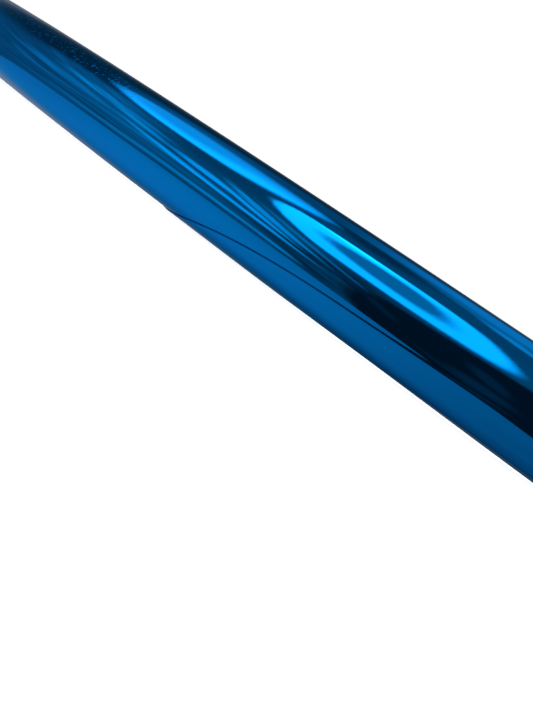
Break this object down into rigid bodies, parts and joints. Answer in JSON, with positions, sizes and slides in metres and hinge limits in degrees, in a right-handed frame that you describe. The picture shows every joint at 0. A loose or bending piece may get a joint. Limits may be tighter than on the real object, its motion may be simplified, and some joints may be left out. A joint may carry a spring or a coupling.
{
  "type": "rhythmic gymnastics hoop",
  "caption": "Collapsible ring of round plastic tube wrapped in mirror-blue film, joined by an inner sleeve with a spring button.",
  "frame": {"origin": "centre of the circle on which the hoop rests when it lies flat", "axes": "+Z along the hoop's own axis, up; the joint of the tube is at +Y, with its button and rivets on top"},
  "size_m": [0.888, 0.888, 0.021],
  "materials": {
    "mirror_film": "polished",
    "band_tape": "gloss",
    "tube_plastic": "satin",
    "sleeve_plastic": "satin",
    "rivet_aluminium": "satin",
    "mandrel_steel": "satin",
    "button_steel": "polished",
    "spring_steel": "satin"
  },
  "bodies": {
    "hoop": {"hoop_tube": "tube_plastic", "connector_insert": "sleeve_plastic", "rivet_body_1": "rivet_aluminium", "rivet_body_2": "rivet_aluminium", "rivet_mandrel_1": "mandrel_steel", "rivet_mandrel_2": "mandrel_steel", "snap_spring": "spring_steel", "film_panel_1": "mirror_film", "film_panel_2": "mirror_film", "film_panel_3": "mirror_film", "film_panel_4": "mirror_film", "film_panel_5": "mirror_film", "film_panel_6": "mirror_film", "film_panel_7": "mirror_film", "film_panel_8": "mirror_film", "film_panel_9": "mirror_film", "joint_band_1": "band_tape", "joint_band_2": "band_tape"},
    "button": {"snap_button": "button_steel"}
  },
  "joints": [
    {"name": "button_press", "type": "slide", "parent": "hoop", "child": "button", "axis": [0, 0, -1], "range_m": [0, 0.0046], "stiffness_N_per_m": 2500, "springref_m": -0.001, "deforming": ["snap_spring"]}
  ]
}
